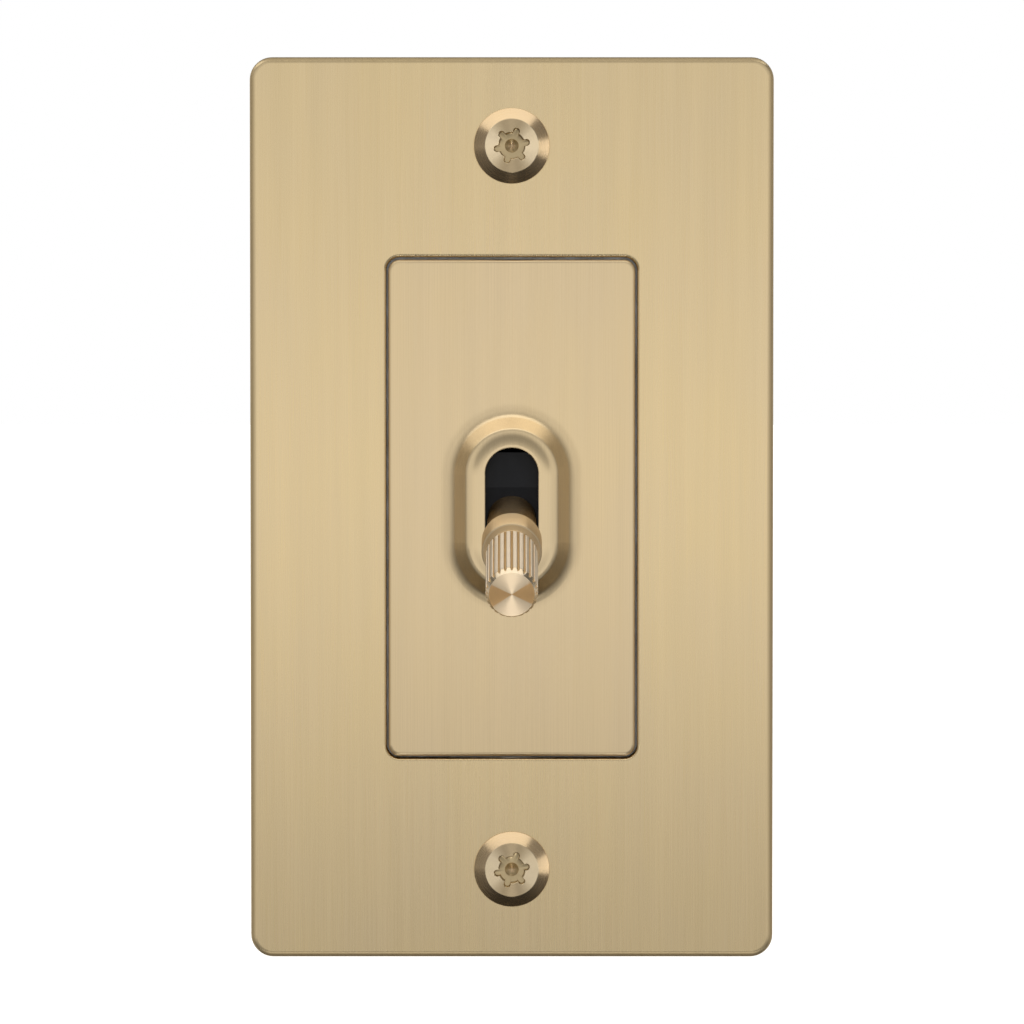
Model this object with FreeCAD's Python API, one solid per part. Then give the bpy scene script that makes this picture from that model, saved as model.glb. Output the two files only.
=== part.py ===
import FreeCAD, Part
import math
import os

# A two-way wall switch with a turned brass dolly, at rest with the dolly down.
# X points right, Z up and the front faces -Y. The wall is the plane y = 0 and the wall box lies behind it.
# Lengths are in millimetres and angles in degrees.

# Wall fixing
PLATE_SCREW_TO_YOKE_END = 4.58
BOX_TO_PLATE_SCREW = 6.75
BOX_HOLE_DIA = 4.0

# Cover plate
PLATE_WIDTH = 70.0
PLATE_HEIGHT = 120.5
PLATE_CORNER_R = 3.0
PLATE_EDGE_R = 0.8
PLATE_FRONT_WALL = 3.0
PLATE_RIM = 2.5
PLATE_HOLE_CLEARANCE = 0.4
APERTURE_EDGE_R = 0.4

# Coin-headed plate screws
COIN_BASE_DIA = 10.1
COIN_TOP_DIA = 7.2
COIN_HEIGHT = 1.45
RECESS_DIA = 3.44
RECESS_DEPTH = 1.1
LOBE_DIA = 0.78
LOBE_PAST_RECESS = 0.25
LOBE_TURN = 12.0
RECESS_CONE_DIA = 1.84
RECESS_CONE_DEPTH = 0.55
PLATE_SCREW_DIA = 3.5
PLATE_SCREW_PAST_YOKE = 3.0

# Centre plate and the raised oval surround of its slot
CENTRE_SIDE_MARGIN = 0.25
CENTRE_HEIGHT = 66.5
CENTRE_THICK = 2.5
CENTRE_CORNER_R = 1.5
CENTRE_EDGE_R = 0.5
CENTRE_GAP = 0.32
FOOT_R = 1.6
SLOPE_ANGLE = 47.0
SLOPE_LENGTH = 2.05
CREST_R = 0.7
BROW_R = 3.0
DISH_R = 5.2
DISH_ANGLE = 12.0
LIP_WIDTH = 0.45
LIP_EDGE_R = 0.15
SLOT_SIDE_GAP = 0.25
SLOT_END_GAP = 1.5
RELIEF_GAP = 0.6
BOSS_DIA = 4.4
BOSS_X = 12.0
BOSS_Z = 22.0
BOSS_SCREW_DIA = 2.0
BOSS_SCREW_HEAD_DIA = 3.8
BOSS_HOLE_IN_PLATE = 1.3
BOSS_HOLE_SPARE = 0.3

# Yoke
YOKE_THICK = 1.3
YOKE_TO_PLATE_GAP = 0.7
YOKE_END_GAP = 4.75
YOKE_PAST_OPENING = 2.2
EAR_WIDTH = 20.0
EAR_WING_WIDTH = 30.0
EAR_WING_LENGTH = 8.0
EAR_CORNER_R = 2.5
EARTH_TAB_WIDTH = 8.0
EARTH_TAB_DEPTH = 9.0
EARTH_TAB_BELOW_HOUSING = 8.5

# Dolly
DOLLY_TILT = 16.0
PIVOT_DEPTH = 4.0
SPIGOT_DIA = 4.0
SPIGOT_LENGTH = 3.6
STEM_DIA = 6.6
STEM_LENGTH = 9.3
COLLAR_DIA = 8.0
COLLAR_LENGTH = 4.65
COLLAR_EDGE = 0.2
GROOVE_DIA = 6.0
GROOVE_LENGTH = 1.35
GRIP_DIA = 6.84
GRIP_LENGTH = 15.8
GRIP_CHAMFER = 0.45
GRIP_CHAMFER_LENGTH = 0.9
FLUTE_COUNT = 24
FLUTE_R = 0.17
FLUTE_DEPTH = 0.24

# Rocker
ROCKER_WIDTH = 10.0
LAND_REACH = 5.8
LAND_HEIGHT = 9.0
WING_HEIGHT = 18.0
WING_THICK = 1.5
HUB_HEIGHT = 7.2
HUB_BACK = 3.0
TAIL_DIA = 5.6
TAIL_REACH = 12.5
SPRING_SEAT_REACH = 2.6
PIN_DIA = 2.5
PIN_RUN_FIT = 0.05
PIN_PRESS_FIT = 0.01
SCREW_FIT = 0.05

# Plunger and its spring
PLUNGER_DIA = 3.4
PLUNGER_LENGTH = 5.0
PLUNGER_FIT = 0.08
TIP_REACH = 15.0
SPRING_DIA = 3.1
SPRING_WIRE = 0.4
SPRING_COILS = 6
SPRING_END_GAP = 0.05

# Rocking contact
CONTACT_TILT = 7.0
CONTACT_GAP = 0.05
STRIP_WIDTH = 6.0
STRIP_THICK = 0.8
STRIP_HEIGHT = 23.0
DISHED_HEIGHT = 10.0
RIB_R = 1.5
TIP_DIA = 3.0
TIP_HEIGHT = 0.8
TIP_DOME_R = 3.0
TIP_Z = 9.5

# Terminals
TERMINAL_THICK = 1.0
TERMINAL_WIDTH = 8.0
TERMINAL_BEND_R = 1.0
TERMINAL_PAD_PAST_MIDDLE = 3.0
CRADLE_FLOOR = 0.8
CRADLE_RISE = 1.05
CRADLE_HEIGHT = 3.8
TERMINAL_SCREW_DIA = 3.5
TERMINAL_SCREW_DEPTH = 6.5
TERMINAL_SCREW_LENGTH = 6.0
WIRING_HEAD_DIA = 6.4
WIRING_HEAD_THICK = 2.0
DRIVER_SLOT_WIDTH = 1.0
DRIVER_SLOT_DEPTH = 0.8
CLAMP_SIZE = 6.6
CLAMP_THICK = 1.0
CLAMP_HOLE_CLEARANCE = 0.2
CLAMP_WINDOW_GAP = 0.4
TERMINAL_EDGE = 0.8

# Housing
HOUSING_WIDTH = 33.5
HOUSING_HEIGHT = 65.0
HOUSING_CORNER_R = 2.0
HOUSING_EDGE_R = 1.0
HOUSING_WALL = 1.8
COVER_DEPTH = 9.0
COVER_FRONT = 1.8
BASE_FLOOR = 2.0
POST_HEIGHT = 2.6
POST_SIZE = 5.0
CHEEK_THICK = 2.6
CHEEK_HEIGHT = 8.0
CHEEK_WALL = 1.75
ROCKER_SIDE_GAP = 0.4
WINDOW_GAP = 1.2
PILLAR_DIA = 6.4
PILLAR_INSET = 3.0
HOUSING_SCREW_DIA = 2.5
HOUSING_SCREW_HEAD_DIA = 4.4
HOUSING_SCREW_HEAD = 1.6
HOUSING_HOLE_CLEARANCE = 0.2

# The yoke's length and its two pairs of screws follow the cover plate's height
YOKE_LENGTH = PLATE_HEIGHT - 2 * (PLATE_RIM + YOKE_END_GAP)
PLATE_SCREW_PITCH = YOKE_LENGTH - 2 * PLATE_SCREW_TO_YOKE_END
BOX_SCREW_PITCH = PLATE_SCREW_PITCH - 2 * BOX_TO_PLATE_SCREW
EARTH_TAB_Z = -HOUSING_HEIGHT / 2 - EARTH_TAB_BELOW_HOUSING

# The centre plate is a little narrower than the housing, and the yoke closes the gap round it from behind
CENTRE_WIDTH = HOUSING_WIDTH - 2 * CENTRE_SIDE_MARGIN
OPENING_WIDTH = CENTRE_WIDTH + 2 * CENTRE_GAP
OPENING_HEIGHT = CENTRE_HEIGHT + 2 * CENTRE_GAP

# Depths of the main planes
PLATE_POCKET_Y = -(YOKE_THICK + YOKE_TO_PLATE_GAP)
PLATE_FRONT_Y = PLATE_POCKET_Y - PLATE_FRONT_WALL
CENTRE_BACK_Y = PLATE_FRONT_Y + CENTRE_THICK

# Reach along the dolly's axis from its pivot
COLLAR_REACH = LAND_REACH + STEM_LENGTH
GROOVE_REACH = COLLAR_REACH + COLLAR_LENGTH
GRIP_REACH = GROOVE_REACH + GROOVE_LENGTH
DOLLY_REACH = GRIP_REACH + GRIP_LENGTH

# The surround's section: foot fillet, straight slope, tight crest, gentle brow, dish and a flat lip
SLOPE = math.radians(SLOPE_ANGLE)
DISH = math.radians(DISH_ANGLE)
CREST_HEIGHT = (FOOT_R + CREST_R) * (1 - math.cos(SLOPE)) + SLOPE_LENGTH * math.sin(SLOPE)
LIP_HEIGHT = CREST_HEIGHT - (BROW_R + DISH_R) * (1 - math.cos(DISH))

# The slot clears the stem at both ends of its swing
TILT = math.radians(DOLLY_TILT)
LIP_TO_PIVOT = PIVOT_DEPTH - PLATE_FRONT_Y + LIP_HEIGHT
STEM_SWING = LIP_TO_PIVOT * math.tan(TILT) + STEM_DIA / 2 / math.cos(TILT)
SLOT_WIDTH = STEM_DIA + 2 * SLOT_SIDE_GAP
SLOT_HEIGHT = 2 * (STEM_SWING + SLOT_END_GAP)

# The rocker's wings slope so that one lies parallel to the wall at each end of the swing
WING_EDGE_REACH = LAND_REACH - math.tan(TILT) * (WING_HEIGHT - LAND_HEIGHT) / 2
WING_FRONT = LAND_REACH * math.cos(TILT) + LAND_HEIGHT / 2 * math.sin(TILT)
WINDOW_WIDTH = ROCKER_WIDTH + 2 * ROCKER_SIDE_GAP
WINDOW_HEIGHT = 2 * (math.hypot(WING_EDGE_REACH, WING_HEIGHT / 2) + WINDOW_GAP)

# The contact's dish follows the plunger's domed tip over the whole swing
FULCRUM_Y = PIVOT_DEPTH + TIP_REACH + CONTACT_GAP
DOME_REACH = TIP_REACH - PLUNGER_DIA / 2
DOME_BACK = DOME_REACH * math.cos(TILT) - TIP_REACH - CONTACT_GAP
DOME_UP = DOME_REACH * math.sin(TILT)
ROCK = math.radians(CONTACT_TILT)
DOME_Y = DOME_BACK * math.cos(ROCK) - DOME_UP * math.sin(ROCK)
DOME_Z = DOME_BACK * math.sin(ROCK) + DOME_UP * math.cos(ROCK)
DOME_OFFSET = PLUNGER_DIA / 2 + CONTACT_GAP
STRIP_DISH_R = (DOME_Y ** 2 + DOME_Z ** 2 - DOME_OFFSET ** 2) / (-2 * (DOME_Y + DOME_OFFSET))
DISH_RISE = math.sqrt(STRIP_DISH_R ** 2 - (DISHED_HEIGHT / 2) ** 2)
ARM_FRONT_Y = FULCRUM_Y - STRIP_DISH_R + DISH_RISE
ARM_BACK_Y = ARM_FRONT_Y + STRIP_THICK

# A fixed tip stands where the moving tip's dome comes to rest
TIP_DOME_Y = ARM_BACK_Y + TIP_HEIGHT - TIP_DOME_R - FULCRUM_Y
FIXED_TIP_Z = TIP_Z * math.cos(ROCK) - TIP_DOME_Y * math.sin(ROCK)
CLOSED_TIP_Y = FULCRUM_Y + TIP_DOME_Y * math.cos(ROCK) + TIP_Z * math.sin(ROCK) + TIP_DOME_R
PAD_Y = CLOSED_TIP_Y + CONTACT_GAP + TIP_HEIGHT
COMMON_PAD_Y = FULCRUM_Y + RIB_R + PIN_RUN_FIT + CRADLE_FLOOR
HOUSING_BACK_Y = COMMON_PAD_Y + TERMINAL_THICK + POST_HEIGHT + BASE_FLOOR
TERMINAL_SCREW_Y = COVER_DEPTH + TERMINAL_SCREW_DEPTH
SIDE_X = HOUSING_WIDTH / 2 - HOUSING_WALL

# Each terminal's side wall, the depth of its pad and its height.
# The common one is at the left and the two travellers at the right.
COMMON = (-1, COMMON_PAD_Y, 0)
UPPER = (1, PAD_Y, FIXED_TIP_Z)
LOWER = (1, PAD_Y, -FIXED_TIP_Z)
TERMINALS = [COMMON, UPPER, LOWER]

HOUSING_CORNERS = [
    (sx * (HOUSING_WIDTH / 2 - PILLAR_INSET), sz * (HOUSING_HEIGHT / 2 - PILLAR_INSET))
    for sx in (-1, 1)
    for sz in (-1, 1)
]
BOSSES = [(sx * BOSS_X, sz * BOSS_Z) for sx in (-1, 1) for sz in (-1, 1)]
PIVOT = FreeCAD.Vector(0, PIVOT_DEPTH, 0)
FULCRUM = FreeCAD.Vector(0, FULCRUM_Y, 0)
ACROSS = FreeCAD.Vector(1, 0, 0)
UP = FreeCAD.Vector(0, 0, 1)
INWARD = FreeCAD.Vector(0, 1, 0)
OUTWARD = FreeCAD.Vector(0, -1, 0)


def point(x, y, z):
    return FreeCAD.Vector(x, y, z)


def block(x_span, y_span, z_span):
    """Box between two values on each axis."""
    low = point(x_span[0], y_span[0], z_span[0])
    return Part.makeBox(x_span[1] - x_span[0], y_span[1] - y_span[0], z_span[1] - z_span[0], low)


def rod(diameter, start, end):
    """Cylinder from one point to another."""
    return Part.makeCylinder(diameter / 2, start.distanceToPoint(end), start, end - start)


def joined_outline(arcs):
    """Closed wire through the arcs in turn, with a straight edge wherever two of them don't meet."""
    edges = []
    for arc, following in zip(arcs, arcs[1:] + arcs[:1]):
        edges.append(arc)
        here = arc.valueAt(arc.LastParameter)
        there = following.valueAt(following.FirstParameter)
        if here.distanceToPoint(there) > 1e-6:
            edges.append(Part.makeLine(here, there))
    return Part.Wire(edges)


def slab(width, height, corner_r, y_front, y_back):
    """Upright plate with round corners, centred on the Y axis."""
    x, z = width / 2 - corner_r, height / 2 - corner_r
    arcs = []
    for turn, (cx, cz) in enumerate([(x, z), (-x, z), (-x, -z), (x, -z)]):
        angles = [math.radians(90 * turn + step) for step in (0, 45, 90)]
        on_arc = [point(cx + corner_r * math.cos(a), y_front, cz + corner_r * math.sin(a)) for a in angles]
        arcs.append(Part.Arc(*on_arc).toShape())
    return Part.Face(joined_outline(arcs)).extrude(point(0, y_back - y_front, 0))


def round_edges_at(shape, y, radius, width=math.inf, height=math.inf):
    """Round the edges that lie at one depth, inside the given width and height."""
    chosen = []
    for edge in shape.Edges:
        box = edge.BoundBox
        flat = abs(box.YMin - y) < 1e-4 and abs(box.YMax - y) < 1e-4
        inside = max(-box.XMin, box.XMax) < width / 2 + 1e-3 and max(-box.ZMin, box.ZMax) < height / 2 + 1e-3
        if flat and inside:
            chosen.append(edge)
    return shape.makeFillet(radius, chosen)


def side_extrusion(outline, width):
    """Prism across X, centred on x = 0, from (y, z) corners."""
    corners = [point(-width / 2, y, z) for y, z in outline]
    return Part.Face(Part.makePolygon(corners + corners[:1])).extrude(point(width, 0, 0))


def turned(profile, start, axis):
    """Solid of revolution from (distance along the axis, radius) pairs that begin and end on the axis."""
    corners = [start + axis * along + UP * radius for along, radius in profile]
    return Part.Face(Part.makePolygon(corners + corners[:1])).revolve(start, axis, 360)


def domed_rod(diameter, length, dome_r, start, axis):
    """Round rod with a spherical end."""
    half_angle = math.asin(diameter / 2 / dome_r)
    centre = start + axis * (length - dome_r)
    tip = start + axis * length
    shoulder = centre + axis * (dome_r * math.cos(half_angle)) + UP * (diameter / 2)
    middle = centre + axis * (dome_r * math.cos(half_angle / 2)) + UP * (dome_r * math.sin(half_angle / 2))
    foot = start + UP * (diameter / 2)
    edges = [
        Part.makeLine(start, foot),
        Part.makeLine(foot, shoulder),
        Part.Arc(shoulder, middle, tip).toShape(),
        Part.makeLine(tip, start),
    ]
    return Part.Face(Part.Wire(edges)).revolve(start, axis, 360)


def slotted_screw(head_dia, head_thick, shank_dia, length, seat, axis):
    """Screw with a flat slotted head: seat is under the head and axis points to the tip."""
    profile = [
        (-head_thick, 0),
        (-head_thick, head_dia / 2),
        (0, head_dia / 2),
        (0, shank_dia / 2),
        (length, shank_dia / 2),
        (length, 0),
    ]
    top = seat - axis * head_thick
    reach = [
        abs(deep) * DRIVER_SLOT_DEPTH + abs(long) * head_dia + abs(wide) * DRIVER_SLOT_WIDTH / 2
        for deep, long, wide in zip(axis, axis.cross(UP), UP)
    ]
    slot = block(*[(middle - half, middle + half) for middle, half in zip(top, reach)])
    return turned(profile, seat, axis).cut(slot)


def cover_plate():
    """Hollow-backed plate whose rim meets the wall."""
    plate = slab(PLATE_WIDTH, PLATE_HEIGHT, PLATE_CORNER_R, PLATE_FRONT_Y, 0)
    plate = round_edges_at(plate, PLATE_FRONT_Y, PLATE_EDGE_R)
    pocket_corner_r = max(PLATE_CORNER_R - PLATE_RIM, PLATE_EDGE_R)
    pocket_size = (PLATE_WIDTH - 2 * PLATE_RIM, PLATE_HEIGHT - 2 * PLATE_RIM)
    plate = plate.cut(slab(*pocket_size, pocket_corner_r, PLATE_POCKET_Y, 0))
    opening = (OPENING_WIDTH, OPENING_HEIGHT)
    plate = plate.cut(slab(*opening, CENTRE_CORNER_R + CENTRE_GAP, PLATE_FRONT_Y, 0))
    plate = round_edges_at(plate, PLATE_FRONT_Y, APERTURE_EDGE_R, *opening)
    hole_dia = PLATE_SCREW_DIA + 2 * PLATE_HOLE_CLEARANCE
    for z in (-PLATE_SCREW_PITCH / 2, PLATE_SCREW_PITCH / 2):
        plate = plate.cut(rod(hole_dia, point(0, PLATE_FRONT_Y, z), point(0, 0, z)))
    return [plate]


def six_lobe_recess(face):
    """Round recess with six small round lobes in its wall and a driver's cone in its floor."""
    deep = INWARD * RECESS_DEPTH
    recess = rod(RECESS_DIA, face, face + deep)
    lobe_ring = RECESS_DIA / 2 + LOBE_PAST_RECESS
    for lobe in range(6):
        angle = math.radians(60 * lobe + LOBE_TURN)
        middle = face + point(lobe_ring * math.cos(angle), 0, lobe_ring * math.sin(angle))
        recess = recess.fuse(rod(LOBE_DIA, middle, middle + deep))
    cone = Part.makeCone(RECESS_CONE_DIA / 2, 0, RECESS_CONE_DEPTH, face + deep, INWARD)
    return recess.fuse(cone)


def plate_screws():
    """Two screws with proud conical heads that seat on the plate's face."""
    screws = []
    for z in (-PLATE_SCREW_PITCH / 2, PLATE_SCREW_PITCH / 2):
        profile = [
            (-COIN_HEIGHT, 0),
            (-COIN_HEIGHT, COIN_TOP_DIA / 2),
            (0, COIN_BASE_DIA / 2),
            (0, PLATE_SCREW_DIA / 2),
            (PLATE_SCREW_PAST_YOKE - PLATE_FRONT_Y, PLATE_SCREW_DIA / 2),
            (PLATE_SCREW_PAST_YOKE - PLATE_FRONT_Y, 0),
        ]
        screw = turned(profile, point(0, PLATE_FRONT_Y, z), INWARD)
        screws.append(screw.cut(six_lobe_recess(point(0, PLATE_FRONT_Y - COIN_HEIGHT, z))))
    return screws


def surround_section(z):
    """Section of the raised surround at the right of the slot, sunk half-way into the plate."""
    edge_x = SLOT_WIDTH / 2
    dish_x = edge_x + LIP_WIDTH
    crest_x = dish_x + (BROW_R + DISH_R) * math.sin(DISH)
    foot_x = crest_x + (FOOT_R + CREST_R) * math.sin(SLOPE) + SLOPE_LENGTH * math.cos(SLOPE)

    def on(x, height):
        return point(x, PLATE_FRONT_Y - height, z)

    def arc(x, height, radius, start, end):
        """Arc between two angles, level at the given point and hollow where the radius is negative."""
        turns = (start, (start + end) / 2, end)
        return Part.Arc(
            *[on(x + radius * math.sin(turn), height - radius * (1 - math.cos(turn))) for turn in turns]
        ).toShape()

    root = -CENTRE_THICK / 2
    outline = joined_outline([
        arc(foot_x, 0, -FOOT_R, 0, SLOPE),
        arc(crest_x, CREST_HEIGHT, CREST_R, SLOPE, 0),
        arc(crest_x, CREST_HEIGHT, BROW_R, 0, -DISH),
        arc(dish_x, LIP_HEIGHT, -DISH_R, -DISH, 0),
        arc(edge_x + LIP_EDGE_R, LIP_HEIGHT, LIP_EDGE_R, 0, -math.pi / 2),
        Part.makeLine(on(edge_x, root), on(foot_x, root)),
    ])
    return Part.Face(outline)


def centre_plate():
    """Flush plate with a raised oval surround, a relief behind it for the rocker and four screw bosses."""
    plate = slab(CENTRE_WIDTH, CENTRE_HEIGHT, CENTRE_CORNER_R, PLATE_FRONT_Y, CENTRE_BACK_Y)
    plate = round_edges_at(plate, PLATE_FRONT_Y, CENTRE_EDGE_R)
    straight = SLOT_HEIGHT - SLOT_WIDTH
    right = surround_section(-straight / 2).extrude(point(0, 0, straight))
    top = surround_section(straight / 2).revolve(point(0, 0, straight / 2), OUTWARD, 180)
    left = right.mirror(point(0, 0, 0), ACROSS)
    bottom = top.mirror(point(0, 0, 0), UP)
    plate = plate.multiFuse([right, top, left, bottom])
    past_lip_y = PLATE_FRONT_Y - CREST_HEIGHT
    plate = plate.cut(slab(SLOT_WIDTH, SLOT_HEIGHT, SLOT_WIDTH / 2, past_lip_y, CENTRE_BACK_Y))
    relief_y = PIVOT_DEPTH - WING_FRONT - RELIEF_GAP
    relief_size = (ROCKER_WIDTH + 2 * RELIEF_GAP, WING_HEIGHT + 2 * RELIEF_GAP)
    plate = plate.cut(slab(*relief_size, CENTRE_CORNER_R, relief_y, CENTRE_BACK_Y))
    hole_dia = BOSS_SCREW_DIA + 2 * SCREW_FIT
    for x, z in BOSSES:
        plate = plate.fuse(rod(BOSS_DIA, point(x, CENTRE_BACK_Y, z), point(x, -YOKE_THICK, z)))
        hole_end_y = CENTRE_BACK_Y - BOSS_HOLE_IN_PLATE
        plate = plate.cut(rod(hole_dia, point(x, hole_end_y, z), point(x, -YOKE_THICK, z)))
    return [plate.removeSplitter()]


def boss_screw_profile(fit):
    """Countersunk screw from the yoke's back face towards the front, or with a fit added its hole."""
    head_r = BOSS_SCREW_HEAD_DIA / 2 + fit
    shank_r = BOSS_SCREW_DIA / 2 + fit
    length = BOSS_HOLE_IN_PLATE - CENTRE_BACK_Y - BOSS_HOLE_SPARE
    return [(0, 0), (0, head_r), (head_r - shank_r, shank_r), (length, shank_r), (length, 0)]


def centre_plate_screws():
    """Four countersunk screws, flush with the back of the yoke."""
    return [turned(boss_screw_profile(0), point(x, 0, z), OUTWARD) for x, z in BOSSES]


def earth_screw_seat():
    return point(-EAR_WIDTH / 2, EARTH_TAB_DEPTH / 2, EARTH_TAB_Z)


def yoke():
    """Flat strap with a window for the rocker, fixing ears with plaster wings and a bent earth tab."""
    size = (OPENING_WIDTH + 2 * YOKE_PAST_OPENING, OPENING_HEIGHT + 2 * YOKE_PAST_OPENING)
    strap = slab(*size, HOUSING_CORNER_R, -YOKE_THICK, 0)
    strap = strap.fuse(slab(EAR_WIDTH, YOKE_LENGTH, EAR_CORNER_R, -YOKE_THICK, 0))
    for end in (-1, 1):
        wing = slab(EAR_WING_WIDTH, EAR_WING_LENGTH, EAR_CORNER_R, -YOKE_THICK, 0)
        wing.translate(point(0, 0, end * (YOKE_LENGTH - EAR_WING_LENGTH) / 2))
        strap = strap.fuse(wing)
    strap = strap.cut(slab(WINDOW_WIDTH, WINDOW_HEIGHT, HOUSING_CORNER_R, -YOKE_THICK, 0))
    seat = earth_screw_seat()
    tab_z = (EARTH_TAB_Z - EARTH_TAB_WIDTH / 2, EARTH_TAB_Z + EARTH_TAB_WIDTH / 2)
    strap = strap.fuse(block((seat.x, seat.x + YOKE_THICK), (-YOKE_THICK, EARTH_TAB_DEPTH), tab_z))
    holes = [rod(TERMINAL_SCREW_DIA + 2 * SCREW_FIT, seat, seat + ACROSS * YOKE_THICK)]
    for pitch, diameter in (
        (PLATE_SCREW_PITCH, PLATE_SCREW_DIA + 2 * SCREW_FIT),
        (BOX_SCREW_PITCH, BOX_HOLE_DIA),
    ):
        for z in (-pitch / 2, pitch / 2):
            holes.append(rod(diameter, point(0, -YOKE_THICK, z), point(0, 0, z)))
    for x, z in HOUSING_CORNERS:
        diameter = HOUSING_SCREW_DIA + 2 * SCREW_FIT
        holes.append(rod(diameter, point(x, -YOKE_THICK, z), point(x, 0, z)))
    for x, z in BOSSES:
        holes.append(turned(boss_screw_profile(SCREW_FIT), point(x, 0, z), OUTWARD))
    for hole in holes:
        strap = strap.cut(hole)
    return [strap.removeSplitter()]


def earth_screw():
    """Wiring screw in the yoke's tab, with its head outwards."""
    return [
        slotted_screw(
            WIRING_HEAD_DIA, WIRING_HEAD_THICK, TERMINAL_SCREW_DIA, TERMINAL_SCREW_LENGTH,
            earth_screw_seat(), ACROSS,
        )
    ]


def at_rest(shape):
    """Swing a piece from square to the wall to the dolly's lower position."""
    shape.rotate(PIVOT, ACROSS, DOLLY_TILT)
    return shape


def dolly():
    """Turned lever: spigot, stem, plain collar, relief groove and fluted grip."""
    collar_r = COLLAR_DIA / 2
    grip_r = GRIP_DIA / 2
    profile = [
        (LAND_REACH - SPIGOT_LENGTH, 0),
        (LAND_REACH - SPIGOT_LENGTH, SPIGOT_DIA / 2),
        (LAND_REACH, SPIGOT_DIA / 2),
        (LAND_REACH, STEM_DIA / 2),
        (COLLAR_REACH, STEM_DIA / 2),
        (COLLAR_REACH, collar_r - COLLAR_EDGE),
        (COLLAR_REACH + COLLAR_EDGE, collar_r),
        (GROOVE_REACH - COLLAR_EDGE, collar_r),
        (GROOVE_REACH, collar_r - COLLAR_EDGE),
        (GROOVE_REACH, GROOVE_DIA / 2),
        (GRIP_REACH, GROOVE_DIA / 2),
        (GRIP_REACH, grip_r),
        (DOLLY_REACH - GRIP_CHAMFER_LENGTH, grip_r),
        (DOLLY_REACH, grip_r - GRIP_CHAMFER),
        (DOLLY_REACH, 0),
    ]
    lever = turned(profile, PIVOT, OUTWARD)
    flute_ring = grip_r - FLUTE_DEPTH + FLUTE_R
    flutes = []
    for index in range(FLUTE_COUNT):
        angle = 2 * math.pi * index / FLUTE_COUNT
        centre = PIVOT + point(flute_ring * math.sin(angle), 0, flute_ring * math.cos(angle))
        flutes.append(rod(2 * FLUTE_R, centre + OUTWARD * GRIP_REACH, centre + OUTWARD * DOLLY_REACH))
    return [at_rest(lever.cut(Part.makeCompound(flutes)))]


def rocker():
    """Moulded rocker: a flat land round the stem, sloping wings, a hub on the pin and a bored tail."""
    land, wing, hub = LAND_HEIGHT / 2, WING_HEIGHT / 2, HUB_HEIGHT / 2
    upper = [
        (LAND_REACH, land),
        (WING_EDGE_REACH, wing),
        (WING_EDGE_REACH - WING_THICK, wing),
        (LAND_REACH - WING_THICK, land),
        (HUB_BACK, hub),
        (-HUB_BACK, hub),
    ]
    outline = upper + [(reach, -height) for reach, height in reversed(upper)]
    body = side_extrusion([(PIVOT_DEPTH - reach, height) for reach, height in outline], ROCKER_WIDTH)
    body = body.fuse(rod(TAIL_DIA, PIVOT, PIVOT + INWARD * TAIL_REACH))
    half_across = ACROSS * (ROCKER_WIDTH / 2)
    body = body.cut(rod(PIN_DIA + 2 * PIN_RUN_FIT, PIVOT - half_across, PIVOT + half_across))
    bore_dia = PLUNGER_DIA + 2 * PLUNGER_FIT
    body = body.cut(rod(bore_dia, PIVOT + INWARD * SPRING_SEAT_REACH, PIVOT + INWARD * TAIL_REACH))
    spigot_dia = SPIGOT_DIA + 2 * SCREW_FIT
    spigot_end = PIVOT + OUTWARD * (LAND_REACH - SPIGOT_LENGTH)
    body = body.cut(rod(spigot_dia, spigot_end, PIVOT + OUTWARD * LAND_REACH))
    return [at_rest(body)]


def plunger():
    """Round plunger with a domed tip, in the rocker's tail."""
    back = PIVOT + INWARD * (TIP_REACH - PLUNGER_LENGTH)
    return [at_rest(domed_rod(PLUNGER_DIA, PLUNGER_LENGTH, PLUNGER_DIA / 2, back, INWARD))]


def plunger_spring():
    """Compression spring between the bore's end and the plunger."""
    end_room = SPRING_WIRE / 2 + SPRING_END_GAP
    height = TIP_REACH - PLUNGER_LENGTH - SPRING_SEAT_REACH - 2 * end_room
    mean_r = (SPRING_DIA - SPRING_WIRE) / 2
    helix = Part.makeHelix(height / SPRING_COILS, height, mean_r)
    start = point(mean_r, 0, 0)
    wire_ring = Part.makeCircle(SPRING_WIRE / 2, start, point(0, 1, 0))
    coil = Part.Wire(helix).makePipeShell([Part.Wire(wire_ring)], True, True)
    coil.rotate(point(0, 0, 0), ACROSS, -90)
    coil.translate(PIVOT + INWARD * (SPRING_SEAT_REACH + end_room))
    return [at_rest(coil)]


def pivot_pin_half_length():
    return ROCKER_WIDTH / 2 + ROCKER_SIDE_GAP + CHEEK_THICK


def pivot_pin():
    """Pin pressed into the two cheeks."""
    half = ACROSS * pivot_pin_half_length()
    return [rod(PIN_DIA, PIVOT - half, PIVOT + half)]


def rocked(shape):
    """Tip the contact from square to the wall to closed on its upper tip."""
    shape.rotate(FULCRUM, ACROSS, -CONTACT_TILT)
    return shape


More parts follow.
